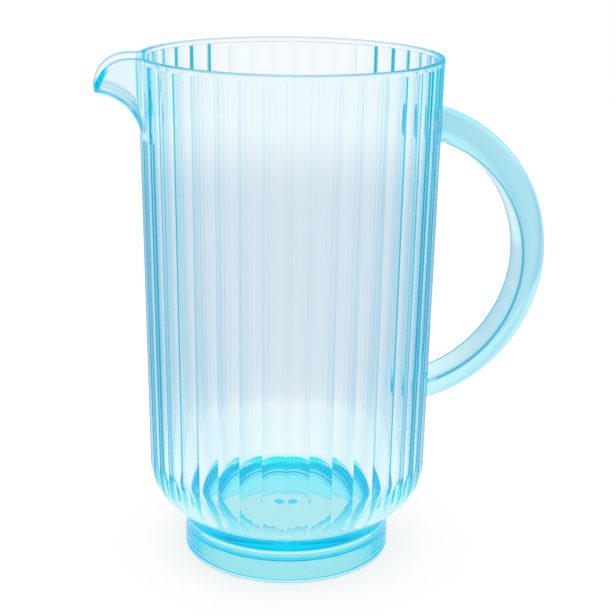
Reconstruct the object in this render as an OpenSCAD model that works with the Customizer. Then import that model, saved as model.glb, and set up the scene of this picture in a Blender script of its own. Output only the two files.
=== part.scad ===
// Fluted serving pitcher in tinted clear plastic: a drafted, fluted body with its pouring beak moulded on,
// a C handle scribed and bonded to the wall, and a ring foot bonded under the base.
// Frame: millimetres, +Z up, origin on the axis at the table, handle toward +X, beak toward -X.

/* [Body] */
// Outer diameter of the rim
rim_d = 136; // [124:1:148]
// Height of the rim above the table
body_h = 235; // [215:1:255]
// Outer diameter where the straight wall runs into the shoulder
base_d = 131; // [122:1:134]
// Thickness of the moulded wall
wall_t = 2.7; // [2.2:0.1:3.6]
// Radius of the round shoulder below the wall
shoulder_r = 23.6; // [18:0.2:27]
// Height of the shoulder's underside above the table
shoulder_z = 20.6; // [17:0.2:25]
// Height of the inside floor above the table
floor_z = 18.5; // [16:0.5:24]
// Radius of the round inside corner between floor and wall
inside_r = 31; // [26:0.5:38]
// Thickness of the base between the inside floor and the hollow under it
base_t = 4.2; // [3:0.1:5.5]
// Diameter of the moulding's gate mark under the base
gate_d = 5.2; // [3:0.2:9]
// Height of the gate mark
gate_h = 0.7; // [0.3:0.1:1.5]

/* [Flutes] */
// Number of flutes round the body
flute_n = 40; // [32:2:48]
// Depth of a flute below the plain rim band
flute_depth = 0.69; // [0.55:0.01:1]
// Plain band left between the flutes and the rim
rim_band = 2.4; // [1.6:0.2:6]

/* [Beak] */
// Outer width of the beak
beak_w = 26; // [20:0.5:32]
// How far the beak's lip stands out past the rim
beak_reach = 19.2; // [14:0.2:24]
// Radius of the hollow curve under the beak
beak_under_r = 22.2; // [18:0.2:27]
// Radius of the beak's drooping top edge, seen from the side
beak_droop_r = 15.2; // [12:0.2:19]
// Outer radius of the beak's trough along its two lower edges
beak_corner_r = 6; // [4:0.25:8]

/* [Handle] */
// Width of the handle
handle_w = 21.5; // [17:0.5:27]
// Thickness of the handle at half its height
handle_t = 13; // [11.5:0.25:16]
// Radius of the handle's inner curve
grip_r = 60; // [54:0.5:64]
// Distance of the handle's curve centre from the body's axis
grip_x = 48.7; // [42:0.5:58]
// Height of the handle's curve centre above the table
grip_z = 139.4; // [128:0.5:146]
// How much the handle's outer curve sits above its inner one, so that it thins toward the bottom
handle_rise = 1.9; // [0:0.1:3]

/* [Foot] */
// How far the foot stands in from the foot of the straight wall
foot_inset = 16.6; // [13:0.2:21]
// Height of the separate foot ring
foot_h = 11; // [8:0.25:14]
// Radial thickness of the foot ring
foot_t = 6; // [4:0.25:9]
// How far the foot ring spreads from its top to the table
foot_flare = 0.25; // [0:0.05:1]
// Edge radius where the foot ring meets the table
foot_edge_r = 1.2; // [0.6:0.1:1.8]

/* [Fits] */
// Thickness of the bond line between body, handle and foot
bond_gap = 0.1; // [0.05:0.01:0.2]

/* [Hidden] */
$fn = 120;

// Colours of the tinted plastic: thin wall, solid handle and foot
wall_tint = [0.62, 0.87, 0.94, 0.45];
handle_tint = [0.55, 0.87, 0.94, 0.7];
foot_tint = [0.5, 0.83, 0.93, 0.7];

// How far a cut runs past the face it opens
overrun = 1.5;
// How far a round stretch is let into the straight one beside it, so that the two cross cleanly
blend_lap = 0.05;
// How far the ridges between flutes stay under the plain rim band
ridge_drop = 0.12;
// How far neighbouring flute cuts lap over each other past the ridge
flute_lap = 0.2;

rim_r = rim_d / 2;
base_r = base_d / 2;
foot_r = base_r - foot_inset;
shoulder_cz = shoulder_z + shoulder_r;
// Underside of the body's base, a bond line above the foot ring
base_z = foot_h + bond_gap;
// Roof of the hollow under the base, which goes on upward from the foot ring's own
hollow_z = floor_z - base_t;
// Draft of the wall from the shoulder's centre height to the rim
draft = atan((rim_r - base_r) / (body_h - shoulder_cz));

// Flute geometry, in the plane square to the wall: neighbours meet in a ridge just under the rim band's circle
flute_step = 360 / flute_n;
flute_half_w = rim_r * sin(flute_step / 2);
flute_sag = rim_r * (1 - cos(flute_step / 2));
flute_rise = flute_depth - flute_sag - ridge_drop;
flute_r = (flute_half_w * flute_half_w + flute_rise * flute_rise) / (2 * flute_rise);

// Beak: its underside levels out at the height where its drooping edge stands upright
beak_lip_x = rim_r + beak_reach - beak_droop_r;
beak_lip_z = body_h - beak_droop_r;
beak_root_z = beak_lip_z - beak_under_r;
// The root starts inside the wall, just under the flutes
beak_curve_x = wall_radius(beak_root_z) - flute_depth - blend_lap + beak_under_r;
beak_top_r = body_h - beak_root_z + beak_under_r;
// The trough turns past upright, so that its end always lies beyond the lip
beak_turn = 130;

// Plain panel behind the beak, from just past one ridge to just past another, where the flutes stop short
panel_half = flute_step * ceil(asin(beak_w / rim_d) / flute_step) + asin(flute_lap / rim_r);
panel_z = beak_root_z + overrun;
// Height inside the plain rim band where the fluted wall below it ends
band_mid_z = body_h - rim_band / 2;

// Direction of a flute's middle line, with a ridge on the beak's and the handle's side
function flute_angle(i) = (i + 0.5) * flute_step;

// Outer radius of the straight wall at a height
function wall_radius(z) = base_r + (z - shoulder_cz) * tan(draft);

// Half section of the straight wall, filled to the axis, with a round bottom corner of radius corner_r whose
// lowest point is at bottom_z. inset draws it inside the outer face.
module drafted_round(corner_r, bottom_z, inset, top_z) {
    centre_z = bottom_z + corner_r;
    centre_x = wall_radius(centre_z) - inset - corner_r / cos(draft);
    foot_of_wall_z = centre_z - corner_r * sin(draft);
    polygon([
        [0, bottom_z],
        [centre_x + blend_lap, bottom_z],
        [wall_radius(foot_of_wall_z) - inset, foot_of_wall_z],
        [wall_radius(top_z) - inset, top_z],
        [0, top_z],
    ]);
    intersection() {
        translate([centre_x + blend_lap, centre_z]) circle(r = corner_r);
        square([wall_radius(top_z) + corner_r, top_z]);
    }
}

// Stretch of the wall without flutes, filled to the axis. turn makes it a sector, and inset draws it under the
// outer face.
module plain_wall(bottom_z, top_z, turn = 360, inset = 0) {
    rotate_extrude(angle = turn)
        polygon([
            [0, bottom_z],
            [wall_radius(bottom_z) - inset, bottom_z],
            [wall_radius(top_z) - inset, top_z],
            [0, top_z],
        ]);
}

// One flute cut, square to the wall, from below the shoulder's start past the rim
module flute_cut(grow = 0) {
    translate([base_r + grow, 0, shoulder_cz])
        rotate([0, draft, 0])
            translate([0, 0, -shoulder_r / 2])
                linear_extrude(height = body_h - shoulder_cz + shoulder_r / 2)
                    intersection() {
                        translate([flute_r - flute_depth, 0]) circle(r = flute_r, $fn = 720);
                        translate([-flute_depth - overrun, -flute_half_w - flute_lap])
                            square([flute_depth + 2 * overrun, 2 * (flute_half_w + flute_lap)]);
                    }
}

// Trough section across the beak, from its underside radius outward; inset draws the channel inside it
module trough(inset) {
    corner_r = beak_corner_r - inset;
    half_w = beak_w / 2 - inset;
    under_r = beak_under_r + inset;
    translate([under_r + corner_r, -half_w]) square([beak_top_r - under_r - corner_r, 2 * half_w]);
    translate([under_r, corner_r - half_w]) square([corner_r, 2 * (half_w - corner_r)]);
    for (side = [-1, 1])
        translate([under_r + corner_r, side * (half_w - corner_r)]) circle(r = corner_r);
}

// Trough bent round the hollow curve under the beak
module bent_trough(inset) {
    translate([-beak_curve_x, 0, beak_root_z])
        rotate([90, 0, 0]) rotate_extrude(angle = beak_turn) trough(inset);
}

// Side view of the beak, as wide as the trough: level at the rim, then drooping to the lip
module beak_side() {
    rotate([90, 0, 0])
        linear_extrude(height = beak_w + 2 * overrun, center = true) {
            translate([-beak_lip_x, beak_lip_z]) circle(r = beak_droop_r);
            translate([-beak_lip_x, beak_root_z - overrun])
                square([beak_lip_x - rim_r + beak_w / 2, body_h - beak_root_z + overrun]);
        }
}

// Fluted body with its beak, open at the top, and a plain base, hollow below, for the foot ring
module pitcher_body() {
    color(wall_tint)
        difference() {
            union() {
                difference() {
                    rotate_extrude() {
                        drafted_round(shoulder_r, shoulder_z, 0, band_mid_z);
                        translate([0, hollow_z]) square([foot_r, shoulder_cz - hollow_z]);
                        translate([foot_r - foot_t, base_z]) square([foot_t, shoulder_cz - base_z]);
                        translate([0, hollow_z - gate_h]) square([gate_d / 2, gate_h + overrun]);
                    }
                    for (i = [0 : flute_n - 1])
                        rotate([0, 0, flute_angle(i)]) flute_cut();
                }
                plain_wall(body_h - rim_band, body_h);
                rotate([0, 0, 180 - panel_half]) plain_wall(panel_z, band_mid_z, 2 * panel_half, blend_lap);
                intersection() {
                    bent_trough(0);
                    beak_side();
                }
            }
            rotate_extrude() drafted_round(inside_r, floor_z, wall_t, body_h + overrun);
            bent_trough(wall_t);
        }
}

// Handle: a half-round outer side and a flat inner side, its ends scribed to the fluted wall
module handle() {
    handle_r = handle_w / 2;
    outer_r = grip_r + handle_t;
    color(handle_tint)
        difference() {
            translate([grip_x, 0, grip_z + handle_rise])
                rotate([90, 0, 0])
                    rotate_extrude() {
                        translate([outer_r - handle_r, 0]) circle(r = handle_r);
                        translate([outer_r - handle_t - handle_rise - overrun, -handle_r])
                            square([handle_t + handle_rise + overrun - handle_r, handle_w]);
                    }
            translate([grip_x, 0, grip_z])
                rotate([90, 0, 0]) cylinder(r = grip_r, h = handle_w + 2 * overrun, center = true);
            difference() {
                cylinder(
                    r1 = wall_radius(0) + bond_gap, r2 = wall_radius(body_h) + bond_gap, h = body_h
                );
                for (i = [0 : flute_n - 1])
                    if (cos(flute_angle(i)) * rim_r > rim_r - handle_w)
                        rotate([0, 0, flute_angle(i)]) flute_cut(bond_gap);
            }
        }
}

// Foot ring: plain, a little wider at the table, with round lower edges
module foot_ring() {
    inner_r = foot_r - foot_t;
    table_r = foot_r + foot_flare;
    color(foot_tint)
        rotate_extrude() {
            polygon([
                [inner_r, foot_edge_r],
                [table_r, foot_edge_r],
                [foot_r, foot_h],
                [inner_r, foot_h],
            ]);
            translate([inner_r + foot_edge_r, 0])
                square([table_r - inner_r - 2 * foot_edge_r, foot_edge_r]);
            for (edge_x = [inner_r + foot_edge_r, table_r - foot_edge_r])
                translate([edge_x, foot_edge_r]) circle(r = foot_edge_r);
        }
}

pitcher_body();
handle();
foot_ring();
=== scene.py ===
"""Looks of a fluted serving pitcher in tinted clear plastic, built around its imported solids.

Metres, +Z up, origin on the axis at the table, handle toward +X, beak toward -X.
"""

import logging
import math
from dataclasses import dataclass
from enum import Enum
from typing import ClassVar

import bpy
import numpy as np
from mathutils import Matrix, Vector


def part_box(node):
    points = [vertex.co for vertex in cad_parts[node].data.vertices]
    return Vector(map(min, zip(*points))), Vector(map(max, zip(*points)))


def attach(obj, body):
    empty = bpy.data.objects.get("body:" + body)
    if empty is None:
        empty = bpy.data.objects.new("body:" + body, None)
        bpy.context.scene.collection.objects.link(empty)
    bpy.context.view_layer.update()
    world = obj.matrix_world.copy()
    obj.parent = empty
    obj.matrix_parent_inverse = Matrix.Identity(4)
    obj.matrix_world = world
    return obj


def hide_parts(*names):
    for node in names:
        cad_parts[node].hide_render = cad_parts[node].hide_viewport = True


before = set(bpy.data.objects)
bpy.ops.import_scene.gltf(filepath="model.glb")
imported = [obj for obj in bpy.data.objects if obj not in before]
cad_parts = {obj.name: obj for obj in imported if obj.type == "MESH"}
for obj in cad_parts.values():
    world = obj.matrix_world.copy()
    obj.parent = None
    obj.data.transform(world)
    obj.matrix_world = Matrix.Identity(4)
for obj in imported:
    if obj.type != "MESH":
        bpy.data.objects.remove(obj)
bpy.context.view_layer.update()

LOG = logging.getLogger("pitcher")
BODY = "root"
TURN = 2.0 * math.pi
HALVINGS = 44  # steps of each search by halving
BOND = 0.0001  # clear bond line between two mouldings
FOOT_R = 0.0489  # outer radius of the base and its ring
BOUNCES = 128  # light passes many clear faces
WHITE = (1.0, 1.0, 1.0)
BLACK = (0.0, 0.0, 0.0)

Pair = tuple[float, float]
Colour = tuple[float, float, float]
Socket = bpy.types.NodeSocket


class Face(Enum):
    """Which face of the moulded wall a row of points lies on."""

    OUTER = "outer"
    INNER = "inner"


def smooth_step(value: np.ndarray, low: float, high: float) -> np.ndarray:
    """Ease from 0 at low to 1 at high.

    Args:
        value: Where to read the ramp.
        low: Start of the ramp.
        high: End of the ramp.

    Returns:
        The eased share, from 0 to 1.
    """
    share = np.clip((value - low) / (high - low), 0.0, 1.0)
    return share * share * (3.0 - 2.0 * share)


def round_union(first: np.ndarray, second: np.ndarray, radius: np.ndarray) -> np.ndarray:
    """Join two signed distances with a round fillet in the inner corner.

    Args:
        first: Signed distance to one shape, negative inside.
        second: Signed distance to the other shape.
        radius: Fillet radius, which may vary from point to point.

    Returns:
        Signed distance to the joined shape.
    """
    reach = np.hypot(np.maximum(radius - first, 0.0), np.maximum(radius - second, 0.0))
    return np.maximum(radius, np.minimum(first, second)) - reach


def round_overlap(first: np.ndarray, second: np.ndarray, radius: float) -> np.ndarray:
    """Keep what two signed distances share, with round edges.

    Args:
        first: Signed distance to one shape, negative inside.
        second: Signed distance to the other shape.
        radius: Edge radius.

    Returns:
        Signed distance to the shared shape.
    """
    reach = np.hypot(np.maximum(radius + first, 0.0), np.maximum(radius + second, 0.0))
    return np.minimum(-radius, np.maximum(first, second)) + reach


def resampled(points: np.ndarray, shares: np.ndarray) -> np.ndarray:
    """Place points along a polyline at shares of its length.

    Args:
        points: The polyline, one point a row.
        shares: Shares of the length, from 0 to 1.

    Returns:
        The new points, one a row.
    """
    steps = np.linalg.norm(np.diff(points, axis=0), axis=1)
    length = np.concatenate([[0.0], np.cumsum(steps)])
    places = shares * length[-1]
    return np.stack([np.interp(places, length, points[:, k]) for k in range(3)], axis=1)


def arc_points(centre: Pair, radius: float, start: float, end: float, count: int) -> np.ndarray:
    """Points of a profile arc.

    Args:
        centre: Radius and height of the arc's centre.
        radius: Arc radius.
        start: First angle in degrees, from outward toward up.
        end: Last angle in degrees.
        count: How many points.

    Returns:
        Radius and height of each point, one a row.
    """
    angle = np.radians(np.linspace(start, end, count))
    return np.stack([centre[0] + radius * np.cos(angle), centre[1] + radius * np.sin(angle)], axis=1)


def ring_points(radius: np.ndarray | float, height: np.ndarray | float, angle: np.ndarray) -> np.ndarray:
    """Points round the axis at a radius and height, one for each angle."""
    return np.stack([radius * np.cos(angle), radius * np.sin(angle), height + np.zeros_like(angle)], axis=1)


def turned_rows(profile: np.ndarray, angle: np.ndarray) -> list[np.ndarray]:
    """Rings of points that turn a profile of radii and heights round the axis."""
    return [ring_points(radius, height, angle) for radius, height in profile]


def mesh_object(name: str, points: np.ndarray, faces: list[list[int]]) -> bpy.types.Object:
    """Make an object from points and faces.

    Args:
        name: Object name.
        points: Corner points, one a row.
        faces: Corner numbers of each face.

    Returns:
        The object, linked to the scene and shaded smooth.
    """
    mesh = bpy.data.meshes.new(name)
    mesh.from_pydata(points.tolist(), [], faces)
    mesh.validate()
    mesh.shade_smooth()
    piece = bpy.data.objects.new(name, mesh)
    bpy.context.scene.collection.objects.link(piece)
    return piece


def grid_object(name: str, rows: list[np.ndarray], closed: bool = False) -> bpy.types.Object:
    """Make a watertight object from rings of points.

    Args:
        name: Object name.
        rows: Rings with equal numbers of points, in order along the surface.
        closed: Whether the last ring joins the first. Otherwise both are capped.

    Returns:
        The object, with outward normals.
    """
    count = len(rows[0])
    points = np.vstack(rows)
    column = np.arange(count)
    following = np.roll(column, -1)
    starts = np.arange(len(rows)) * count
    quads = np.concatenate([
        np.stack([low + column, low + following, high + following, high + column], axis=1)
        for low, high in zip(starts, np.roll(starts, -1))
    ])
    if not closed:
        quads = quads[:-count]
    faces = quads.tolist()
    if not closed:
        faces += [column[::-1].tolist(), (starts[-1] + column).tolist()]
    corner = points[quads]
    cross = np.cross(corner[:, 1] - corner[:, 0], corner[:, 2] - corner[:, 0])
    cross += np.cross(corner[:, 2] - corner[:, 0], corner[:, 3] - corner[:, 0])
    if np.einsum("ij,ij->", corner.mean(axis=1), cross) < 0.0:
        faces = [face[::-1] for face in faces]
    return mesh_object(name, points, faces)


@dataclass(frozen=True)
class FlutedWall:
    """The drafted wall with its hollow flutes and round shoulder, which other pieces are scribed to."""

    height: float
    rim_r: float = 0.068
    base_r: float = 0.0655
    thickness: float = 0.0027
    shoulder_r: float = 0.0236
    shoulder_z: float = 0.0206
    flutes: int = 40
    flute_depth: float = 0.00069
    ridge_drop: float = 0.00012
    run_out: Pair = (0.024, 0.046)

    @property
    def shoulder_cz(self) -> float:
        """Height of the shoulder's centre."""
        return self.shoulder_z + self.shoulder_r

    @property
    def slope(self) -> float:
        """Growth of the radius per metre of height."""
        return (self.rim_r - self.base_r) / (self.height - self.shoulder_cz)

    @property
    def shoulder_cr(self) -> float:
        """Distance of the shoulder's centre from the axis."""
        return float(self.radius(self.shoulder_cz)) - self.shoulder_r * math.hypot(1.0, self.slope)

    @property
    def flute_step(self) -> float:
        """Angle between neighbouring ridges."""
        return TURN / self.flutes

    @property
    def flute_r(self) -> float:
        """Radius of a flute's hollow.

        Returns:
            The radius that gives the flutes their depth and the ridges their drop.
        """
        half = self.rim_r * math.sin(self.flute_step / 2.0)
        rise = self.flute_depth - self.rim_r * (1.0 - math.cos(self.flute_step / 2.0)) - self.ridge_drop
        return (half * half + rise * rise) / (2.0 * rise)

    def radius(self, height: np.ndarray | float) -> np.ndarray | float:
        """Radius of the plain wall at a height."""
        return self.base_r + (height - self.shoulder_cz) * self.slope

    def fluted(self, angle: np.ndarray, height: np.ndarray) -> np.ndarray:
        """Radius of the fluted wall.

        Args:
            angle: Direction round the axis, with ridges at whole steps from the handle.
            height: Height above the table.

        Returns:
            Radius at each place.
        """
        local = np.mod(angle, self.flute_step) - self.flute_step / 2.0
        centre = self.radius(height) + self.flute_r - self.flute_depth
        return centre * np.cos(local) - np.sqrt(self.flute_r**2 - (centre * np.sin(local)) ** 2)

    def shoulder(self, height: np.ndarray) -> np.ndarray:
        """Radius of the round shoulder, or of the plain wall above it.

        Args:
            height: Height above the table.

        Returns:
            Radius at each height.
        """
        plain = self.radius(height)
        drop = np.clip(self.shoulder_cz - height, 0.0, self.shoulder_r)
        bulge = np.sqrt(self.shoulder_r**2 - drop**2)
        return np.where(height < self.shoulder_cz, np.minimum(self.shoulder_cr + bulge, plain), plain)

    def outer(self, angle: np.ndarray, height: np.ndarray) -> np.ndarray:
        """Radius of the wall's outside, where the flutes run out on the shoulder.

        Args:
            angle: Direction round the axis.
            height: Height above the table.

        Returns:
            Radius at each place.
        """
        depth = self.radius(height) - self.fluted(angle, height)
        return self.shoulder(height) - depth * smooth_step(height, *self.run_out)


@dataclass(frozen=True)
class Beak:
    """The drooping pouring beak: a flat-bottomed trough bent over a hollow curve.

    Rows across it fan out from a pole inside the wall. They turn down with the droop, in step with
    their level.
    """

    wall: FlutedWall
    reach: float
    width: float = 0.026
    under_r: float = 0.0222
    droop_r: float = 0.0152
    corner_r: float = 0.006
    outer_fillet: float = 0.0026
    inner_round: float = 0.0022
    least_fillet: float = 0.0002
    fillet_rise: Pair = (0.004, 0.016)
    panel_rise: float = 0.0015
    focus_rise: float = 0.002
    focus_inset: float = 0.0005
    level_rise: float = 0.003
    pole_s: float = 0.045
    ray_start: float = 0.002
    least_ray: float = 0.036
    turn_share: float = 2.6
    rays: int = 481
    steps: int = 260

    @property
    def lip_s(self) -> float:
        """Distance from the axis where the edge starts to droop."""
        return self.reach - self.droop_r

    @property
    def lip_z(self) -> float:
        """Height of the droop's centre."""
        return self.wall.height - self.droop_r

    @property
    def root_z(self) -> float:
        """Height where the hollow curve under the beak starts."""
        return self.lip_z - self.under_r

    @property
    def curve_s(self) -> float:
        """Distance of the hollow curve's centre from the axis."""
        return float(self.wall.radius(self.root_z)) - self.wall.flute_depth + self.under_r

    @property
    def half_angle(self) -> float:
        """Half the angle of the plain panel behind the beak, in whole flutes."""
        needed = math.asin(self.width / 2.0 / self.wall.rim_r)
        return self.wall.flute_step * math.ceil(needed / self.wall.flute_step)

    @property
    def panel_z(self) -> float:
        """Height where the flutes end under the beak."""
        return self.root_z + self.panel_rise

    def field(self, face: Face, along: np.ndarray, across: np.ndarray, height: np.ndarray) -> np.ndarray:
        """Signed distance to the wall joined with the trough, negative inside.

        Args:
            face: Outer skin, or the hollow inside.
            along: Distance from the axis toward the beak.
            across: Distance from the plane of symmetry.
            height: Height above the table.

        Returns:
            Signed distance at each point.
        """
        inset = self.wall.thickness if face is Face.INNER else 0.0
        wall = np.hypot(along, across) - (self.wall.radius(height) - inset)
        bend = np.hypot(along - self.curve_s, np.maximum(height - self.root_z, 0.0))
        bend = np.where(height < self.root_z, self.curve_s - along, bend)
        corner = self.corner_r - inset
        side = np.abs(across) - (self.width / 2.0 - inset - corner)
        floor = self.under_r + inset + corner - bend
        beyond = np.hypot(np.maximum(side, 0.0), np.maximum(floor, 0.0))
        trough = beyond + np.minimum(np.maximum(side, floor), 0.0) - corner
        fillet = self.inner_round if face is Face.INNER else self.outer_fillet
        ease = smooth_step(height, *(self.root_z + rise for rise in self.fillet_rise))
        return round_union(wall, trough, self.least_fillet + fillet * ease)

    def dense_row(self, face: Face, level: float) -> np.ndarray:
        """One dense row of points across the panel, level at the wall and drooping along the beak.

        Args:
            face: Outer skin, or the hollow inside.
            level: Height of the row where it leaves the wall.

        Returns:
            Points from the +Y end of the panel to its -Y end.
        """
        inset = self.wall.thickness if face is Face.INNER else 0.0
        radius = float(self.wall.radius(level)) - inset
        focus_z = self.root_z + self.focus_rise
        if level < focus_z + self.level_rise:
            angle = np.linspace(math.pi - self.half_angle, math.pi + self.half_angle, self.rays)
            return ring_points(radius, level, angle)
        share = (level - focus_z) / (self.wall.height - focus_z)
        focus_s = float(self.wall.radius(focus_z)) - inset - self.focus_inset
        turn_s = focus_s + (self.lip_s - focus_s) * share
        turn_r = self.droop_r * share
        edge_s, edge_y = radius * math.cos(self.half_angle), radius * math.sin(self.half_angle)
        edge = math.atan2(edge_y, edge_s - self.pole_s)
        ray = np.linspace(edge, -edge, self.rays)[:, None]
        longest = max(self.least_ray, turn_s - self.pole_s + self.turn_share * turn_r)
        distance = np.linspace(self.ray_start, longest, self.steps)[None, :] * np.ones_like(ray)

        def place(reach: np.ndarray) -> tuple[np.ndarray, np.ndarray, np.ndarray]:
            """Find the points at a reach on each ray.

            Args:
                reach: Distance from the pole, measured along the bent row.

            Returns:
                Distance along the beak, across it and up.
            """
            run = reach * np.cos(ray) + self.pole_s
            bend = np.maximum(run - turn_s, 0.0) / turn_r
            along = np.minimum(run, turn_s) + turn_r * np.sin(bend)
            return along, reach * np.sin(ray), level - turn_r * (1.0 - np.cos(bend))

        outside = self.field(face, *place(distance)) > 0.0
        first = np.argmax(outside, axis=1)[:, None]
        low = np.take_along_axis(distance, np.maximum(first - 1, 0), axis=1)
        high = np.take_along_axis(distance, first, axis=1)
        for _ in range(HALVINGS):
            middle = (low + high) / 2.0
            beyond = self.field(face, *place(middle)) > 0.0
            high = np.where(beyond, middle, high)
            low = np.where(beyond, low, middle)
        along, across, height = place((low + high) / 2.0)
        return np.concatenate([-along, across, height], axis=1)

    def edge_normal(self, point: np.ndarray) -> np.ndarray:
        """Direction that the rim faces at points on its edge: up, then forward round the droop.

        Args:
            point: Points on the edge, one a row.

        Returns:
            Unit vectors, one a row.
        """
        along = np.maximum(-point[:, 0] - self.lip_s, 0.0)
        up = np.maximum(point[:, 2] - self.lip_z, 0.0)
        up = np.where(along > 0.0, up, 1.0)
        size = np.hypot(along, up)
        return np.stack([-along / size, np.zeros_like(along), up / size], axis=1)


class Moulding:
    """A moulding of the pitcher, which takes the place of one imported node."""

    node: ClassVar[str]
    slot: ClassVar[str]

    def dress(self, piece: bpy.types.Object, plastic: bpy.types.Material) -> None:
        """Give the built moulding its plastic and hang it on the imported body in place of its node.

        Args:
            piece: The built moulding.
            plastic: Its finish.
        """
        piece.data.materials.append(plastic)
        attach(piece, BODY)
        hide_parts(self.node)
        LOG.info("%s: %d faces", piece.name, len(piece.data.polygons))


@dataclass
class PitcherBody(Moulding):
    """The moulded body: fluted wall, beak, round shoulder and hollow base.

    Its mesh is one sheet of rows, from the middle of the floor up the inside, over the rim, down the
    outside and in to the middle of the underside. The gaps set where rows stand beside a rim, band or
    panel edge.
    """

    node: ClassVar[str] = "pitcher_body"
    slot: ClassVar[str] = "body_plastic"
    wall: FlutedWall
    beak: Beak
    foot_r: float
    base_z: float
    floor_z: float = 0.0185
    inside_r: float = 0.031
    rim_band: float = 0.0024
    rim_edge_r: float = 0.0009
    foot_fillet: float = 0.0009
    base_edge_r: float = 0.0003
    base_t: float = 0.0042
    hollow_inset: float = 0.006
    hollow_fillet: float = 0.0012
    gate_r: float = 0.0026
    gate_h: float = 0.0007
    gate_shares: tuple[Pair, ...] = ((1.25, 0.0), (1.0, 0.25), (0.8, 0.85), (0.5, 1.0), (0.15, 1.0))
    floor_shares: tuple[float, ...] = (0.02, 0.2, 0.4, 0.6, 0.8, 0.94)
    roof_shares: tuple[float, ...] = (0.9, 0.7, 0.5, 0.3, 0.14)
    columns_per_flute: int = 16
    beak_columns: int = 44
    ridge_pull: float = 0.9
    outer_ease: float = 0.010
    inner_ease: float = 0.014
    edge_samples: int = 1601
    even_share: float = 0.03
    floor_gap: float = 0.004
    wall_gap: float = 0.001
    side_gap: float = 0.002
    rim_gap: float = 0.0002
    edge_gaps: Pair = (0.00003, 0.00022)
    above_gap: float = 0.0006
    below_gap: float = 0.0007
    round_rows: int = 6
    band_rows: int = 3
    beak_rows: int = 44
    wall_rows: int = 14
    shoulder_rows: int = 40
    tuck_rows: int = 14
    fillet_rows: int = 7
    edge_rows: int = 5

    def flute_shares(self, count: int) -> np.ndarray:
        """Shares of a flute's width where columns stand, drawn together at the ridges."""
        even = np.arange(count) / count
        return even - self.ridge_pull / TURN * np.sin(TURN * even)

    def column_angles(self) -> tuple[np.ndarray, np.ndarray]:
        """Directions of the columns beside the panel, and their places across the panel.

        Returns:
            Angles of the plain columns, and shares of the panel's width for the beak's columns.
        """
        step = self.wall.flute_step
        behind = round(2.0 * self.beak.half_angle / step)
        shares = self.flute_shares(self.columns_per_flute)
        plain = np.concatenate([(k + shares) * step for k in range(self.wall.flutes - behind)])
        panel = np.concatenate([k + self.flute_shares(self.beak_columns) for k in range(behind)]) / behind
        return plain - (math.pi - self.beak.half_angle), panel

    def panel_angles(self) -> np.ndarray:
        """Directions of the beak's columns where the wall is round."""
        _, panel = self.column_angles()
        return math.pi - self.beak.half_angle + panel * 2.0 * self.beak.half_angle

    def all_angles(self) -> np.ndarray:
        """Directions of all columns where the body is round."""
        return np.concatenate([self.column_angles()[0], self.panel_angles()])

    def beak_row(self, level: float) -> np.ndarray:
        """Outer points of the beak's columns in one row, evened out toward the rim.

        Args:
            level: Height of the row at the wall.

        Returns:
            Points, one a column.
        """
        _, panel = self.column_angles()
        ease = smooth_step(np.array(level), self.beak.panel_z, self.beak.panel_z + self.outer_ease)
        even = np.arange(len(panel)) / len(panel)
        return resampled(self.beak.dense_row(Face.OUTER, level), panel * (1.0 - ease) + even * ease)

    def outer_wall_row(self, level: float, fluted: bool, panel_fluted: bool) -> np.ndarray:
        """One row round the outside of the wall, beak included.

        Args:
            level: Height of the row at the wall.
            fluted: Whether the plain columns follow the flutes.
            panel_fluted: Whether the panel's columns follow them too.

        Returns:
            Points, one a column.
        """
        plain, angle = self.column_angles()[0], self.panel_angles()
        height = np.full_like(plain, level)
        radius = self.wall.outer(plain, height) if fluted else self.wall.radius(height)
        side = ring_points(radius, height, plain)
        if panel_fluted:
            height = np.full_like(angle, level)
            return np.concatenate([side, ring_points(self.wall.outer(angle, height), height, angle)])
        front = self.beak_row(level)
        if fluted:
            front[:1] = ring_points(self.wall.fluted(angle[:1], np.array([level])), level, angle[:1])
        return np.concatenate([side, front])

    def inner_edge_shares(self) -> np.ndarray:
        """Shares of the inner edge's length that lie square across the rim from the outer columns.

        Returns:
            Shares for the beak's columns.
        """
        outer = self.beak_row(self.wall.height)
        even = np.linspace(0.0, 1.0, self.edge_samples)
        inner = resampled(self.beak.dense_row(Face.INNER, self.wall.height), even)
        gap = np.linalg.norm(outer[:, None, :] - inner[None, :, :], axis=2)
        nearest = np.maximum.accumulate(even[np.argmin(gap, axis=1)])
        nearest[0] = 0.0
        spread = np.arange(len(outer)) / len(outer)
        return (1.0 - self.even_share) * nearest + self.even_share * spread

    def inner_wall_row(self, level: float, edge: np.ndarray) -> np.ndarray:
        """One row round the inside of the wall, channel included.

        Args:
            level: Height of the row at the wall.
            edge: Shares of the beak's columns along the inner edge.

        Returns:
            Points, one a column.
        """
        plain, panel = self.column_angles()
        side = ring_points(float(self.wall.radius(level)) - self.wall.thickness, level, plain)
        ease = smooth_step(np.array(level), self.beak.panel_z, self.beak.panel_z + self.inner_ease)
        front = resampled(self.beak.dense_row(Face.INNER, level), panel * (1.0 - ease) + edge * ease)
        return np.concatenate([side, front])

    def rim_rows(self, outer: np.ndarray, inner: np.ndarray) -> list[np.ndarray]:
        """Rows over the rounded rim, from the inside to the outside.

        Args:
            outer: Points of the sharp outer edge.
            inner: Points of the sharp inner edge.

        Returns:
            Rows in order.
        """
        up = self.beak.edge_normal(outer)
        across = inner - outer
        across -= np.einsum("ij,ij->i", across, up)[:, None] * up
        across /= np.linalg.norm(across, axis=1)[:, None]
        turns = np.radians(np.linspace(0.0, 90.0, self.round_rows))
        rows = []
        for edge, sign, order in ((inner, 1.0, turns), (outer, -1.0, turns[::-1])):
            for turn in order:
                back = sign * across * (math.cos(turn) - 1.0) + up * (math.sin(turn) - 1.0)
                rows.append(edge + self.rim_edge_r * back)
        return rows

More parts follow.
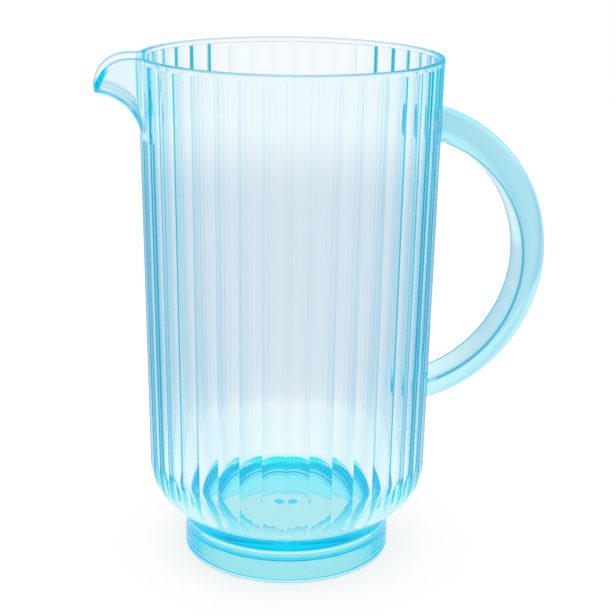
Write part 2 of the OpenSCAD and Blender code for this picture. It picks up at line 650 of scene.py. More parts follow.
    def inside_profile(self) -> np.ndarray:
        """Radius and height from the floor's middle to the top of the inside round.

        Returns:
            Profile points, one a row.
        """
        lean = math.atan(self.wall.slope)
        centre_z = self.floor_z + self.inside_r
        centre_r = float(self.wall.radius(centre_z)) - self.wall.thickness - self.inside_r / math.cos(lean)
        floor = [[centre_r * share, self.floor_z] for share in self.floor_shares]
        end = -math.degrees(lean)
        bend = arc_points((centre_r, centre_z), self.inside_r, -90.0, end, self.shoulder_rows)
        return np.concatenate([floor, bend])

    def base_profile(self) -> np.ndarray:
        """Radius and height from the lower shoulder to the middle of the underside.

        Returns:
            Profile points, one a row.
        """
        wall, small, edge, cove = self.wall, self.foot_fillet, self.base_edge_r, self.hollow_fillet
        hollow_r, hollow_z = self.foot_r - self.hollow_inset, self.floor_z - self.base_t
        out, joined = self.foot_r + small - wall.shoulder_cr, wall.shoulder_r + small
        turn = math.degrees(math.acos(out / joined))
        corner = (self.foot_r + small, wall.shoulder_cz - math.sqrt(joined**2 - out**2))
        middle = (wall.shoulder_cr, wall.shoulder_cz)
        start = math.degrees(math.asin((wall.shoulder_cz - wall.run_out[0]) / wall.shoulder_r))
        return np.concatenate([
            arc_points(middle, wall.shoulder_r, -start, -turn, self.tuck_rows)[1:],
            arc_points(corner, small, 180.0 - turn, 180.0, self.fillet_rows)[1:],
            [[self.foot_r, corner[1] - self.side_gap], [self.foot_r, self.base_z + self.side_gap]],
            arc_points((self.foot_r - edge, self.base_z + edge), edge, 0.0, -90.0, self.edge_rows),
            arc_points((hollow_r + edge, self.base_z + edge), edge, -90.0, -180.0, self.edge_rows),
            arc_points((hollow_r - cove, hollow_z - cove), cove, 0.0, 90.0, self.fillet_rows),
            [[hollow_r * share, hollow_z] for share in self.roof_shares],
            [[self.gate_r * wide, hollow_z - self.gate_h * deep] for wide, deep in self.gate_shares],
        ])

    def build(self) -> bpy.types.Object:
        """Make the body's mesh.

        Returns:
            The body's object.
        """
        wall, top, panel_z = self.wall, self.wall.height, self.beak.panel_z
        rim_z, band_z = top - self.rim_edge_r - self.rim_gap, top - self.rim_band
        edge, angles, inside = self.inner_edge_shares(), self.all_angles(), self.inside_profile()
        rows = turned_rows(inside, angles)
        rise = np.concatenate([
            np.linspace(inside[-1, 1] + self.floor_gap, panel_z - self.wall_gap, self.wall_rows),
            np.linspace(panel_z, rim_z, self.beak_rows),
        ])
        rows += [self.inner_wall_row(level, edge) for level in rise]
        plain, _ = self.column_angles()
        outer_edge = np.concatenate([ring_points(wall.radius(top), top, plain), self.beak_row(top)])
        rows += self.rim_rows(outer_edge, self.inner_wall_row(top, edge))
        near, next_near = self.edge_gaps
        band = np.linspace(rim_z, band_z + self.above_gap, self.band_rows)
        beside = np.linspace(band_z - self.below_gap, panel_z + self.above_gap, self.beak_rows)
        run_out = wall.shoulder_cz + self.wall_gap
        below = np.linspace(panel_z - self.wall_gap, run_out + self.side_gap, self.wall_rows)
        fading = np.linspace(run_out, wall.run_out[0], self.shoulder_rows)
        beside = (band_z - near, band_z - next_near, *beside, panel_z + next_near, panel_z + near)
        for fluted, panel_fluted, levels in (
            (False, False, (*band, band_z + next_near, band_z + near)),
            (True, False, beside),
            (True, True, (panel_z - near, panel_z - next_near, *below, *fading)),
        ):
            rows += [self.outer_wall_row(level, fluted, panel_fluted) for level in levels]
        rows += turned_rows(self.base_profile(), angles)
        return grid_object("pitcher_body_moulding", rows)


@dataclass
class Handle(Moulding):
    """The solid C handle: flat inside, half-round outside, its ends scribed to the fluted wall."""

    node: ClassVar[str] = "handle"
    slot: ClassVar[str] = "handle_plastic"
    wall: FlutedWall
    width: float = 0.0215
    thickness: float = 0.013
    grip_r: float = 0.060
    grip_x: float = 0.0487
    grip_z: float = 0.1394
    rise: float = 0.0019
    edge_r: float = 0.0009
    bond: float = 0.00015
    middle_share: float = 0.45
    end_range: Pair = (40.0, 100.0)
    end_shares: tuple[float, ...] = (0.08, 0.25, 0.42, 0.58, 0.74, 0.88, 0.97)
    columns: int = 96
    sweep_rows: int = 110
    spoke_samples: int = 721

    def section(self, turn: np.ndarray, spoke: np.ndarray, scale: float) -> tuple[np.ndarray, np.ndarray]:
        """Outline of the D section, found along spokes from its middle.

        Args:
            turn: Angle round the grip's centre, from outward toward up.
            spoke: Angle round the section's middle.
            scale: Share of the outline, 1 on the surface.

        Returns:
            Distance from the grip's centre, and distance across.
        """
        half = self.width / 2.0
        spine = self.grip_r + self.thickness - half
        ring_r = self.rise * np.sin(turn) + np.sqrt(spine**2 - (self.rise * np.cos(turn)) ** 2)
        middle = self.grip_r + self.thickness * self.middle_share
        low, high = np.zeros_like(spoke), np.full_like(spoke, self.width)
        for _ in range(HALVINGS):
            reach = (low + high) / 2.0
            out, across = middle + reach * np.cos(spoke), reach * np.sin(spoke)
            round_part = np.where(out > ring_r, np.hypot(out - ring_r, across), np.abs(across)) - half
            inside = round_overlap(round_part, self.grip_r - out, self.edge_r) < 0.0
            low = np.where(inside, reach, low)
            high = np.where(inside, high, reach)
        reach = (low + high) / 2.0 * scale
        return middle + reach * np.cos(spoke), reach * np.sin(spoke)

    def place(self, turn: np.ndarray, spoke: np.ndarray, scale: float) -> np.ndarray:
        """Find points of the handle in the part's frame.

        Args:
            turn: Angle round the grip's centre, from outward toward up.
            spoke: Angle round the section's middle.
            scale: Share of the outline, 1 on the surface.

        Returns:
            Points, one a row.
        """
        out, across = self.section(turn, spoke, scale)
        along, up = self.grip_x + out * np.cos(turn), self.grip_z + out * np.sin(turn)
        return np.stack([along, across, up], axis=1)

    def end_turn(self, spoke: np.ndarray, scale: float, sign: float) -> np.ndarray:
        """Angles where the handle's lines run into the wall.

        Args:
            spoke: Angle round the section's middle.
            scale: Share of the outline.
            sign: 1 for the upper end, -1 for the lower.

        Returns:
            One angle for each spoke.
        """
        low, high = (np.full_like(spoke, math.radians(limit)) for limit in self.end_range)
        for _ in range(HALVINGS):
            middle = (low + high) / 2.0
            point = self.place(sign * middle, spoke, scale)
            reach = np.hypot(point[:, 0], point[:, 1])
            skin = self.wall.fluted(np.arctan2(point[:, 1], point[:, 0]), point[:, 2]) - self.bond
            low = np.where(reach > skin, middle, low)
            high = np.where(reach > skin, high, middle)
        return sign * (low + high) / 2.0

    def end_row(self, spoke: np.ndarray, scale: float, sign: float) -> np.ndarray:
        """Points of one row on an end face, for values as in end_turn."""
        return self.place(self.end_turn(spoke, scale, sign), spoke, scale)

    def spokes(self) -> np.ndarray:
        """Spoke angles that part the outline evenly.

        Returns:
            One angle for each column.
        """
        even = np.linspace(0.0, TURN, self.spoke_samples)
        out, across = self.section(np.zeros_like(even), even, 1.0)
        length = np.concatenate([[0.0], np.cumsum(np.hypot(np.diff(out), np.diff(across)))])
        return np.interp(np.arange(self.columns) / self.columns * length[-1], length, even)

    def build(self) -> bpy.types.Object:
        """Make the handle's mesh.

        Returns:
            The handle's object.
        """
        spoke = self.spokes()
        low = [self.end_row(spoke, share, -1.0) for share in self.end_shares]
        high = [self.end_row(spoke, share, 1.0) for share in self.end_shares[::-1]]
        start, end = self.end_turn(spoke, 1.0, -1.0), self.end_turn(spoke, 1.0, 1.0)
        shares = np.linspace(0.0, 1.0, self.sweep_rows)
        sweep = [self.place(start + (end - start) * share, spoke, 1.0) for share in shares]
        return grid_object("handle_moulding", low + sweep + high)


@dataclass
class FootRing(Moulding):
    """The ring foot bonded under the base, with a thin tongue that fuses the joint for light."""

    node: ClassVar[str] = "foot_ring"
    slot: ClassVar[str] = "foot_plastic"
    top_z: float
    outer_r: float
    thickness: float = 0.006
    flare: float = 0.00025
    edge_r: float = 0.0012
    joint: float = 0.0001
    tongue: float = 0.00025
    top_gap: float = 0.001
    edge_gap: float = 0.0005
    side_rows: int = 5
    edge_rows: int = 8
    columns: int = 360

    def profile(self) -> np.ndarray:
        """Closed profile of the ring.

        Returns:
            Radius and height of each point, one a row.
        """
        top, edge, joint = self.top_z, self.edge_r, self.joint
        outer, inner, table = self.outer_r, self.outer_r - self.thickness, self.outer_r + self.flare
        heights = np.linspace(top - self.top_gap, edge + self.edge_gap, self.side_rows)
        lean = self.flare / (top - edge)
        return np.concatenate([
            [[inner + joint, top - joint], [inner + joint, top + self.tongue]],
            [[outer - joint, top + self.tongue], [outer - joint, top - joint], [outer, top - joint * 2.0]],
            np.stack([outer + (top - heights) * lean, heights], axis=1),
            arc_points((table - edge, edge), edge, 0.0, -90.0, self.edge_rows),
            arc_points((inner + edge, edge), edge, -90.0, -180.0, self.edge_rows),
            np.stack([np.full_like(heights, inner), heights[::-1]], axis=1),
            [[inner, top - joint * 2.0]],
        ])

    def build(self) -> bpy.types.Object:
        """Make the ring's mesh."""
        angle = np.arange(self.columns) / self.columns * TURN
        return grid_object("foot_ring_moulding", turned_rows(self.profile(), angle), closed=True)


class Wiring:
    """Adds and links nodes in one node tree.

    A mix node has several sockets of one name, so those for colours are known by number.
    """

    mix_inputs: ClassVar[tuple[int, int, int]] = (0, 6, 7)
    mix_result: ClassVar[int] = 2

    def __init__(self, tree: bpy.types.NodeTree) -> None:
        """Work in a node tree."""
        self.nodes = tree.nodes
        self.links = tree.links

    def feed(self, socket: Socket, value: object) -> None:
        """Link a socket, or set its value.

        Args:
            socket: The input socket.
            value: An output socket, a number or a colour.
        """
        if isinstance(value, Socket):
            self.links.new(value, socket)
        elif isinstance(value, tuple) and len(value) < len(socket.default_value):
            socket.default_value = (*value, 1.0)
        else:
            socket.default_value = value

    def add(self, kind: str, tree: bpy.types.NodeTree | None = None, **values: object) -> bpy.types.Node:
        """Add a node.

        Args:
            kind: The node's type.
            tree: The tree of a group node.
            **values: Settings and inputs by name, with underscores for spaces.

        Returns:
            The node.
        """
        node = self.nodes.new(kind)
        if tree is not None:
            node.node_tree = tree
        for name, value in values.items():
            if hasattr(node, name):
                setattr(node, name, value)
            else:
                self.feed(node.inputs[name.replace("_", " ")], value)
        return node

    def maths(self, operation: str, *values: object) -> Socket:
        """Add a maths node.

        Args:
            operation: What it works out.
            *values: Its inputs.

        Returns:
            Its output.
        """
        node = self.add("ShaderNodeMath", operation=operation)
        for socket, value in zip(node.inputs, values):
            self.feed(socket, value)
        return node.outputs["Value"]

    def chain(self, operation: str, *values: object) -> Socket:
        """Put any number of values together, two at a time.

        Args:
            operation: What each maths node works out.
            *values: The values in order.

        Returns:
            The last node's output.
        """
        total = values[0]
        for value in values[1:]:
            total = self.maths(operation, total, value)
        return total

    def times(self, *values: object) -> Socket:
        """Multiply values."""
        return self.chain("MULTIPLY", *values)

    def most(self, *values: object) -> Socket:
        """Take the largest of some values."""
        return self.chain("MAXIMUM", *values)

    def less(self, first: object, second: object) -> Socket:
        """Take the second value from the first."""
        return self.maths("SUBTRACT", first, second)

    def size(self, value: object) -> Socket:
        """Drop a value's sign."""
        return self.maths("ABSOLUTE", value)

    def under(self, value: object, limit: float) -> Socket:
        """Give 1 where a value lies under a limit, and 0 elsewhere."""
        return self.maths("LESS_THAN", value, limit)

    def over(self, value: object, limit: float) -> Socket:
        """Give 1 where a value lies over a limit, and 0 elsewhere."""
        return self.maths("GREATER_THAN", value, limit)

    def length(self, first: object, second: object) -> Socket:
        """Length of the line whose two parts at right angles are given."""
        return self.maths("SQRT", self.maths("MULTIPLY_ADD", first, first, self.times(second, second)))

    def ramp(self, value: object, low: float, high: float) -> Socket:
        """Add a smooth ramp.

        Args:
            value: What to read.
            low: Where the ramp is 0.
            high: Where it is 1.

        Returns:
            The ramp's output.
        """
        node = self.add("ShaderNodeMapRange", interpolation_type="SMOOTHSTEP", Value=value)
        node.inputs["From Min"].default_value = low
        node.inputs["From Max"].default_value = high
        return node.outputs["Result"]

    def blend(self, share: object, first: object, second: object, kind: str = "MIX") -> Socket:
        """Add a colour mix.

        Args:
            share: How much of the second colour.
            first: First colour.
            second: Second colour.
            kind: How the second colour acts on the first.

        Returns:
            The mixed colour.
        """
        node = self.add("ShaderNodeMix", data_type="RGBA", blend_type=kind)
        for index, value in zip(self.mix_inputs, (share, first, second)):
            self.feed(node.inputs[index], value)
        return node.outputs[self.mix_result]


@dataclass(frozen=True)
class ClearTintWithPaintedShade:
    """A clear plastic, tinted through its volume, whose surface colour adds painted shade that deepens with
    the way light takes through it.

    A pair is where a ramp is 0 and where it is 1. The edge, crown and level pairs read how much a face
    turns away. The near, far, last and spread pairs read the Fresnel share, and the depth pair counts
    faces passed. The share pair holds a line's narrowest and widest reach, in flute widths.
    """

    name: str
    density: float
    colour: Colour = (0.0, 0.93, 0.98)
    edge_shade_colour: Colour = (0.20, 0.92, 1.0)
    edge_range: Pair = (0.62, 0.92)
    ridge_shade_colour: Colour = (0.0, 0.44, 0.72)
    ridge_shade_behind: Colour = (0.0, 0.26, 0.44)
    ridge_near: Pair = (0.048, 0.075)
    ridge_far: Pair = (0.0437, 0.055)
    ridge_last: Pair = (0.50, 0.30)
    ridge_share: Pair = (0.12, 0.14)
    ridge_spread: Pair = (0.06, 0.15)
    ridge_more: float = 0.12
    ridge_soft: float = 0.015
    ridge_depth: Pair = (2.5, 1.5)
    ridge_level: Pair = (0.25, 0.55)
    deep_shade_colour: Colour = (0.0, 0.62, 0.90)
    crown_range: Pair = (0.70, 0.60)
    base_shade_colour: Colour = (0.0, 0.85, 0.98)
    gloss_colour: Colour = (0.2, 0.75, 0.9)
    roughness: float = 0.0
    ior: float = 1.49

    def painted_ridge_line(self, wires: Wiring, gap: Socket, leaving: Socket) -> Socket:
        """Find how strongly the painted dark line beside a ridge shows.

        Args:
            wires: The material's wiring.
            gap: Distance from the nearest ridge, in flute widths.
            leaving: 1 where the light path leaves the plastic.

        Returns:
            The line's strength.
        """
        narrow, wide = self.ridge_share
        glance = wires.add("ShaderNodeFresnel", IOR=self.ior).outputs["Fac"]
        reach = wires.maths("MULTIPLY_ADD", wires.ramp(glance, *self.ridge_spread), wide - narrow, narrow)
        reach = wires.maths("MULTIPLY_ADD", leaving, self.ridge_more, reach)
        near = wires.ramp(wires.less(reach, gap), -self.ridge_soft, self.ridge_soft)
        left = wires.times(wires.ramp(glance, *self.ridge_far), wires.ramp(glance, *self.ridge_last))
        seen = wires.add("ShaderNodeMix", Factor=leaving, A=wires.ramp(glance, *self.ridge_near), B=left)
        depth = wires.add("ShaderNodeLightPath").outputs["Transmission Depth"]
        upright = wires.add("ShaderNodeCombineXYZ", Z=1.0).outputs["Vector"]
        level = wires.add("ShaderNodeLayerWeight", Blend=0.5, Normal=upright).outputs["Facing"]
        first, flat = wires.ramp(depth, *self.ridge_depth), wires.ramp(level, *self.ridge_level)
        return wires.times(near, seen.outputs["Result"], first, flat)

    def material(self, masks: bpy.types.NodeTree) -> bpy.types.Material:
        """Make the material.

        Args:
            masks: The node group that finds where shade is painted: ridges, crown, deep places and base.

        Returns:
            The material.
        """
        made = bpy.data.materials.new(self.name)
        made.use_nodes = True
        wires = Wiring(made.node_tree)
        shader = wires.nodes["Principled BSDF"]
        found = wires.add("ShaderNodeGroup", tree=masks).outputs
        facing = wires.add("ShaderNodeLayerWeight", Blend=0.5).outputs["Facing"]
        leaving = wires.add("ShaderNodeNewGeometry").outputs["Backfacing"]
        # Painted shade: the surface colour deepens toward grazing edges.
        tint_and_shade = wires.blend(wires.ramp(facing, *self.edge_range), WHITE, self.edge_shade_colour)
        # Painted shade: deep colour on the base's bands, the roof of its hollow and the handle's ends.
        tint_and_shade = wires.blend(found["Base"], tint_and_shade, self.base_shade_colour)
        # Painted shade: dark lines beside the flute ridges, darker still on the far wall.
        line = self.painted_ridge_line(wires, found["Ridge"], leaving)
        tint_and_shade = wires.blend(line, tint_and_shade, wires.blend(leaving, self.ridge_shade_colour, self.ridge_shade_behind))
        # Painted shade: deep cyan round the floor's edge, on the lip's sides, the rim's edge, the beak's
        # root, the handle's inner edges and the gate.
        crown = wires.times(found["Crown shade"], wires.ramp(facing, *self.crown_range), wires.less(1.0, leaving))
        tint_and_shade = wires.blend(wires.most(crown, found["Deep shade"]), tint_and_shade, self.deep_shade_colour)
        wires.feed(shader.inputs["Base Color"], tint_and_shade)
        shader.inputs["Transmission Weight"].default_value = 1.0
        shader.inputs["IOR"].default_value = self.ior
        shader.inputs["Specular Tint"].default_value = (*self.gloss_colour, 1.0)
        shader.inputs["Roughness"].default_value = self.roughness
        volume = wires.add("ShaderNodeVolumeAbsorption")
        volume.inputs["Color"].default_value = (*self.colour, 1.0)
        volume.inputs["Density"].default_value = self.density
        wires.links.new(volume.outputs["Volume"], wires.nodes["Material Output"].inputs["Volume"])
        return made


@dataclass
class PaintedShadeMasks(Wiring):
    """The node group that finds where shade is painted into the plastic's colour, such as ridges, rim,
    floor and base.

    A pair is where a mask is 0 and where it is 1, as a radius or height, or as a distance from the edge
    that its name gives. A share is how strong a mask is, apart from the panel's, which is one of its width.
    """

    wall: FlutedWall
    beak: Beak
    handle: Handle
    floor_z: float
    base_z: float
    line_foot: Pair = (0.039, 0.045)
    line_below_rim: Pair = (0.0022, 0.0027)
    panel_share: float = 0.98
    scallop: float = 0.0014
    crown_in: Pair = (0.0368, 0.0380)
    crown_out: Pair = (0.0432, 0.0424)
    crown_swell: float = 0.0035
    crown_h: float = 0.012
    floor_slack: float = 0.001
    gate_r: Pair = (0.0066, 0.0054)
    gate_h: float = 0.004
    rim_below_top: Pair = (0.0008, 0.0004)
    rim_inset: Pair = (0.0009, 0.0005)
    rim_share: float = 0.5
    edge_inset: Pair = (0.0022, 0.0014)
    edge_rise: Pair = (0.0010, 0.0003)
    edge_x: float = 0.0695
    edge_share: float = 0.92
    end_depth: float = 0.0004
    end_slack: float = 0.0007
    end_share: float = 0.6
    lip_inset: Pair = (0.0028, 0.0021)
    lip_run: Pair = (0.0075, 0.0105)
    lip_side: float = 0.0016
    root_rise: Pair = (0.0032, 0.0016)
    root_foot: Pair = (0.004, 0.008)
    root_top: Pair = (0.0175, 0.0115)
    root_share: float = 0.85
    band_top: Pair = (0.0225, 0.0205)
    band_foot: Pair = (0.0158, 0.0164)
    band_r: Pair = (0.0472, 0.0480)
    skirt_top: Pair = (0.0151, 0.0145)
    skirt_share: float = 0.85
    roof_r: float = 0.0418
    roof_rise: float = 0.002
    roof_share: float = 0.55

    def __post_init__(self) -> None:
        """Start the group, and find where on the pitcher a shaded point lies."""
        self.tree = bpy.data.node_groups.new("painted_shade_masks", "ShaderNodeTree")
        super().__init__(self.tree)
        place = self.add("ShaderNodeNewGeometry").outputs["Position"]
        self.x, self.y, self.z = self.add("ShaderNodeSeparateXYZ", Vector=place).outputs
        self.out = self.length(self.y, self.x)
        self.angle = self.maths("ARCTAN2", self.y, self.x)

    def group(self) -> bpy.types.NodeTree:
        """Wire the masks to the group's outputs.

        Returns:
            The group, which puts out the distance from the nearest ridge and three masks of painted shade.
        """
        masks = {
            "Ridge": self.ridge_gap(),
            "Crown shade": self.most(self.crown_mask(), self.lip_mask()),
            "Deep shade": self.most(self.gate_mask(), self.root_mask(), self.rim_mask(), self.handle_edges()),
            "Base": self.most(self.base_mask(), self.handle_ends()),
        }
        for name in masks:
            self.tree.interface.new_socket(name, in_out="OUTPUT", socket_type="NodeSocketFloat")
        end = self.add("NodeGroupOutput")
        for name, mask in masks.items():
            self.feed(end.inputs[name], mask)
        return self.tree

    def within(self, value: Socket, edge: float, insets: Pair) -> Socket:
        """Ramp on how far a value lies inside an edge."""
        return self.ramp(value, *(edge - inset for inset in insets))

    def beyond(self, value: Socket, edge: float, rises: Pair) -> Socket:
        """Ramp on how far a value lies beyond an edge."""
        return self.ramp(value, *(edge + rise for rise in rises))

    def inward(self) -> Socket:
        """Distance in from the plain wall's outer skin."""
        foot_r = self.wall.base_r - self.wall.shoulder_cz * self.wall.slope
        return self.less(self.maths("MULTIPLY_ADD", self.z, self.wall.slope, foot_r), self.out)

    def side_reach(self, x: float, z: float) -> Socket:
        """Distance from a centre, as seen from the side."""
        return self.length(self.less(self.z, z), self.less(self.x, x))

    def ridge_gap(self) -> Socket:
        """Find the distance from the nearest ridge of the wall's outside.

        Returns:
            The distance in flute widths, with 1 added where no painted ridge line shows.
        """
        away = self.maths("PINGPONG", self.maths("DIVIDE", self.angle, self.wall.flute_step), 0.5)
        skin = self.under(self.size(self.inward()), self.wall.thickness / 2.0)
        foot = self.ramp(self.z, *self.line_foot)
        top = self.within(self.z, self.wall.height, self.line_below_rim)
        beside = self.under(self.size(self.angle), math.pi - self.beak.half_angle * self.panel_share)
        clear = self.most(beside, self.under(self.z, self.beak.panel_z))
        return self.maths("ADD", away, self.less(1.0, self.times(skin, foot, top, clear)))

    def crown_mask(self) -> Socket:
        """Find the scalloped ring round the floor, where deep cyan is painted as shade.

        Returns:
            The mask.
        """
        wave = self.size(self.maths("SINE", self.times(self.angle, self.wall.flutes / 2.0)))
        place = self.maths("MULTIPLY_ADD", wave, -self.scallop, self.out)
        aside = self.maths("DIVIDE", self.x, self.out)
        wider = self.maths("MULTIPLY_ADD", self.times(aside, aside), -self.crown_swell, place)
        ring = self.times(self.ramp(place, *self.crown_in), self.ramp(wider, *self.crown_out))
        low = self.under(self.z, self.floor_z + self.crown_h)
        return self.times(ring, self.over(self.z, self.floor_z - self.floor_slack), low)

    def gate_mask(self) -> Socket:
        """Find the moulding gate under the floor, where deep cyan is painted as shade."""
        low = self.under(self.z, self.base_z + self.gate_h)
        return self.times(self.ramp(self.out, *self.gate_r), low)

    def base_mask(self) -> Socket:
        """Find the base's bands and the roof of its hollow, where deep colour is painted as shade.

        Returns:
            The mask.
        """
        band = self.times(self.ramp(self.z, *self.band_top), self.ramp(self.z, *self.band_foot))
        skirt = self.times(self.ramp(self.z, *self.skirt_top), self.over(self.z, self.base_z))
        band = self.maths("MULTIPLY_ADD", skirt, self.skirt_share, band)
        band = self.times(band, self.ramp(self.out, *self.band_r))
        below = self.less(1.0, self.over(self.z, self.floor_z - self.floor_slack))
        above = self.over(self.z, self.base_z + self.roof_rise)
        roof = self.times(self.under(self.out, self.roof_r), below, above)
        return self.maths("MULTIPLY_ADD", roof, self.roof_share, band)

    def rim_mask(self) -> Socket:
        """Find the round outer edge of the rim, and its run along the beak's droop, where deep cyan is
        painted as shade.

        Returns:
            The mask.
        """
        lip_x = -self.beak.lip_s
        top = self.within(self.z, self.wall.height, self.rim_below_top)
        edge = self.times(top, self.within(self.out, self.wall.rim_r, self.rim_inset))
        reach = self.side_reach(lip_x, self.beak.lip_z)
        droop = self.within(reach, self.beak.droop_r, self.rim_below_top)
        return self.times(self.most(edge, self.times(droop, self.under(self.x, lip_x))), self.rim_share)

    def handle_edges(self) -> Socket:
        """Find the two inner edges of the handle, where deep cyan is painted as shade.

        Returns:
            The mask.
        """
        grip = self.handle
        side = self.within(self.size(self.y), grip.width / 2.0, self.edge_inset)
        inner = self.beyond(self.side_reach(grip.grip_x, grip.grip_z), grip.grip_r, self.edge_rise)
        return self.times(side, inner, self.over(self.x, self.edge_x), self.edge_share)

    def handle_ends(self) -> Socket:
        """Find the handle's ends against the wall, where deep colour is painted as shade.

        Returns:
            The mask.
        """
        grip = self.handle
        reach = self.side_reach(grip.grip_x, grip.grip_z)
        off = self.size(self.less(self.inward(), self.end_depth))
        inside = self.under(self.size(self.y), grip.width / 2.0)
        ring = self.times(self.over(reach, grip.grip_r), self.under(reach, grip.grip_r + grip.thickness))
        behind = self.over(self.x, 0.0)
        return self.times(self.under(off, self.end_slack), inside, ring, behind, self.end_share)

    def lip_mask(self) -> Socket:
        """Find the sides of the beak's drooping lip, where deep cyan is painted as shade.

        Returns:
            The mask.
        """
        beak = self.beak
        lip = self.within(self.side_reach(-beak.lip_s, beak.lip_z), beak.droop_r, self.lip_inset)
        run = self.within(self.x, -beak.lip_s, self.lip_run)
        return self.times(lip, run, self.over(self.size(self.y), beak.width / 2.0 - self.lip_side))

    def root_mask(self) -> Socket:
        """Find the root of the beak's underside, where deep cyan is painted as shade.

        Returns:
            The mask.
        """
        beak = self.beak
        skin = self.beyond(self.side_reach(-beak.curve_s, beak.root_z), beak.under_r, self.root_rise)
        foot = self.beyond(self.z, beak.root_z, self.root_foot)
        top = self.beyond(self.z, beak.root_z, self.root_top)
        return self.times(skin, foot, top, self.under(self.x, 0.0), self.root_share)


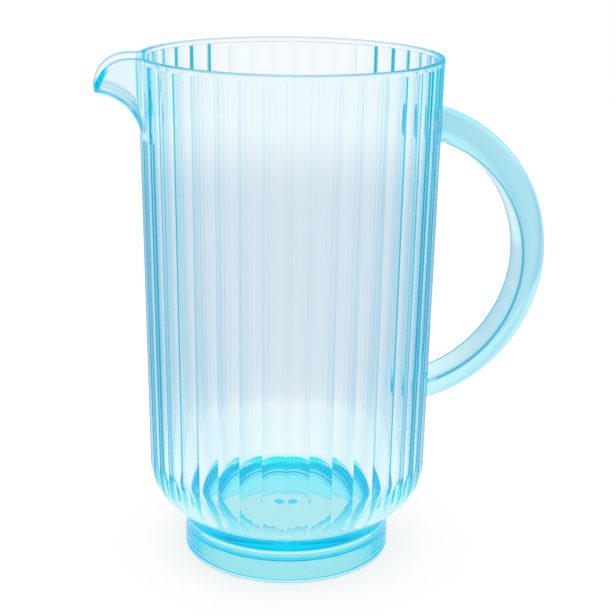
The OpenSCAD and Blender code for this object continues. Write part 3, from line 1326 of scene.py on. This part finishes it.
@dataclass
class Studio:
    """White floor, soft white surround and the camera."""

    camera_place: tuple[float, float, float] = (-0.0942, -0.6300, 0.3150)
    heading: float = math.radians(9.31)
    pitch: float = math.radians(17.24)
    roll: float = math.radians(0.87)
    focal_share: float = 1428.0 / 616.0
    floor_r: float = 1.2
    floor_sides: int = 128
    floor_shade: float = 0.34
    floor_glow: float = 0.72
    floor_roughness: float = 0.9
    fade_r: Pair = (0.03, 0.22)
    dim_in: Pair = (0.10, 0.26)
    dim_out: Pair = (1.18, 0.72)
    dim_colour: Colour = (0.79, 0.82, 0.89)
    strips: int = 8
    strip_power: float = 0.6
    strip_colour: Colour = (1.0, 0.97, 0.98)
    gap_colour: Colour = (0.66, 0.81, 0.92)
    room_colour: Colour = (0.03, 0.58, 0.74)
    room_strip: Colour = (0.30, 0.84, 0.94)

    def camera(self) -> None:
        """Stand the camera where the photograph was taken from."""
        data = bpy.data.cameras.new("camera")
        data.lens = data.sensor_width * self.focal_share
        forward = Vector((
            math.sin(self.heading) * math.cos(self.pitch),
            math.cos(self.heading) * math.cos(self.pitch),
            -math.sin(self.pitch),
        ))
        right = Vector((math.cos(self.heading), -math.sin(self.heading), 0.0))
        up = right.cross(forward)
        turned = right * math.cos(self.roll) + up * math.sin(self.roll)
        upright = up * math.cos(self.roll) - right * math.sin(self.roll)
        camera = bpy.data.objects.new("camera", data)
        columns = (turned, upright, -forward, Vector(self.camera_place))
        camera.matrix_world = Matrix([[column[k] for column in columns] for k in range(3)]).to_4x4()
        bpy.context.scene.collection.objects.link(camera)
        bpy.context.scene.camera = camera

    def strip_group(self) -> bpy.types.NodeTree:
        """Make the node group that draws the upright strip lights by direction.

        Returns:
            The group, with a direction going in and the share of light coming out.
        """
        group = bpy.data.node_groups.new("strip_lights", "ShaderNodeTree")
        group.interface.new_socket("Direction", in_out="INPUT", socket_type="NodeSocketVector")
        group.interface.new_socket("Lit", in_out="OUTPUT", socket_type="NodeSocketFloat")
        wires = Wiring(group)
        start, end = wires.add("NodeGroupInput"), wires.add("NodeGroupOutput")
        axes = wires.add("ShaderNodeSeparateXYZ", Vector=start.outputs["Direction"]).outputs
        turned = wires.less(wires.maths("ARCTAN2", axes["X"], axes["Y"]), self.heading)
        wave = wires.maths("COSINE", wires.times(turned, float(self.strips)))
        strip = wires.maths("MULTIPLY_ADD", wave, 0.5, 0.5)
        wires.feed(end.inputs["Lit"], wires.maths("POWER", strip, self.strip_power))
        return group

    def glass_rays(self, path: bpy.types.Node) -> tuple[Socket, Socket]:
        """The Light Path outputs that are 1 for rays that glass and gloss send on."""
        return path.outputs["Is Glossy Ray"], path.outputs["Is Transmission Ray"]

    def floor(self, strips: bpy.types.NodeTree) -> None:
        """Lay the pale floor, a disc that passes into the surround where glass shows it.

        Args:
            strips: The node group of the strip lights.
        """
        angle = np.arange(self.floor_sides) / self.floor_sides * TURN
        points = ring_points(self.floor_r, 0.0, angle)
        floor = mesh_object("floor", points, [list(range(self.floor_sides))])
        made = bpy.data.materials.new("pale_floor")
        made.use_nodes = True
        wires = Wiring(made.node_tree)
        shader = wires.nodes["Principled BSDF"]
        place = wires.add("ShaderNodeNewGeometry").outputs["Position"]
        lit = wires.add("ShaderNodeGroup", tree=strips, Direction=place).outputs["Lit"]
        away = wires.add("ShaderNodeVectorMath", operation="LENGTH", Vector=place).outputs["Value"]
        seen = wires.most(*self.glass_rays(wires.add("ShaderNodeLightPath")))
        share = wires.times(seen, wires.ramp(away, *self.fade_r))
        shown = wires.blend(lit, self.gap_colour, self.strip_colour)
        # Painted shade: a dimmer bluish ring on the floor, shown only to glass and gloss rays.
        dim = wires.times(wires.ramp(away, *self.dim_in), wires.ramp(away, *self.dim_out))
        shown = wires.blend(dim, shown, self.dim_colour, "MULTIPLY")
        wires.feed(shader.inputs["Base Color"], wires.blend(share, (self.floor_shade,) * 3, BLACK))
        wires.feed(shader.inputs["Emission Color"], wires.blend(share, (self.floor_glow,) * 3, shown))
        shader.inputs["Roughness"].default_value = self.floor_roughness
        shader.inputs["Specular IOR Level"].default_value = 0.0
        shader.inputs["Emission Strength"].default_value = 1.0
        floor.data.materials.append(made)

    def surround(self, strips: bpy.types.NodeTree) -> None:
        """Make the surround: white to the camera, and upright strip lights for glass to show.

        Args:
            strips: The node group of the strip lights.
        """
        world = bpy.data.worlds.new("surround")
        bpy.context.scene.world = world
        world.use_nodes = True
        wires = Wiring(world.node_tree)
        back = wires.nodes["Background"]
        place = wires.add("ShaderNodeTexCoord").outputs["Generated"]
        lit = wires.add("ShaderNodeGroup", tree=strips, Direction=place).outputs["Lit"]
        path = wires.add("ShaderNodeLightPath")
        through = wires.blend(lit, self.gap_colour, self.strip_colour)
        mirrored = wires.blend(lit, self.room_colour, self.room_strip)
        glass = wires.blend(path.outputs["Is Reflection Ray"], through, mirrored)
        seen = wires.most(*self.glass_rays(path))
        wires.feed(back.inputs["Color"], wires.blend(seen, WHITE, glass))
        back.inputs["Strength"].default_value = 1.0

    def build(self) -> None:
        """Set up the whole studio."""
        self.camera()
        strips = self.strip_group()
        self.floor(strips)
        self.surround(strips)
        scene = bpy.context.scene
        scene.view_settings.view_transform = "Standard"
        for name in ("max_bounces", "transmission_bounces", "glossy_bounces"):
            setattr(scene.cycles, name, BOUNCES)


def main() -> None:
    """Build the pitcher and its studio."""
    logging.basicConfig(level=logging.INFO, format="%(name)s: %(message)s")
    body_low, body_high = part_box("pitcher_body")
    _, foot_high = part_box("foot_ring")
    base_z = foot_high.z + BOND
    wall = FlutedWall(height=body_high.z)
    beak = Beak(wall=wall, reach=-body_low.x)
    body = PitcherBody(wall=wall, beak=beak, foot_r=FOOT_R, base_z=base_z)
    grip = Handle(wall=wall)
    ring = FootRing(top_z=foot_high.z, outer_r=FOOT_R)
    masks = PaintedShadeMasks(wall, beak, grip, body.floor_z, base_z).group()
    wall_tint_and_shade = ClearTintWithPaintedShade(name="wall_plastic", density=36.0)
    handle_tint_and_shade = ClearTintWithPaintedShade(
        name="handle_plastic",
        density=30.0,
        edge_shade_colour=(0.86, 0.985, 1.0),
        edge_range=(0.40, 0.90),
        deep_shade_colour=(0.0, 0.42, 0.58),
    )
    foot_tint_and_shade = ClearTintWithPaintedShade(
        name="foot_plastic",
        density=125.0,
        colour=(0.0, 0.90, 0.98),
        edge_shade_colour=(0.0, 0.72, 0.94),
        edge_range=(0.25, 0.75),
    )
    for moulding, tint_and_shade in ((body, wall_tint_and_shade), (grip, handle_tint_and_shade), (ring, foot_tint_and_shade)):
        moulding.dress(moulding.build(), tint_and_shade.material(masks))
    Studio().build()


if __name__ == "__main__":
    main()
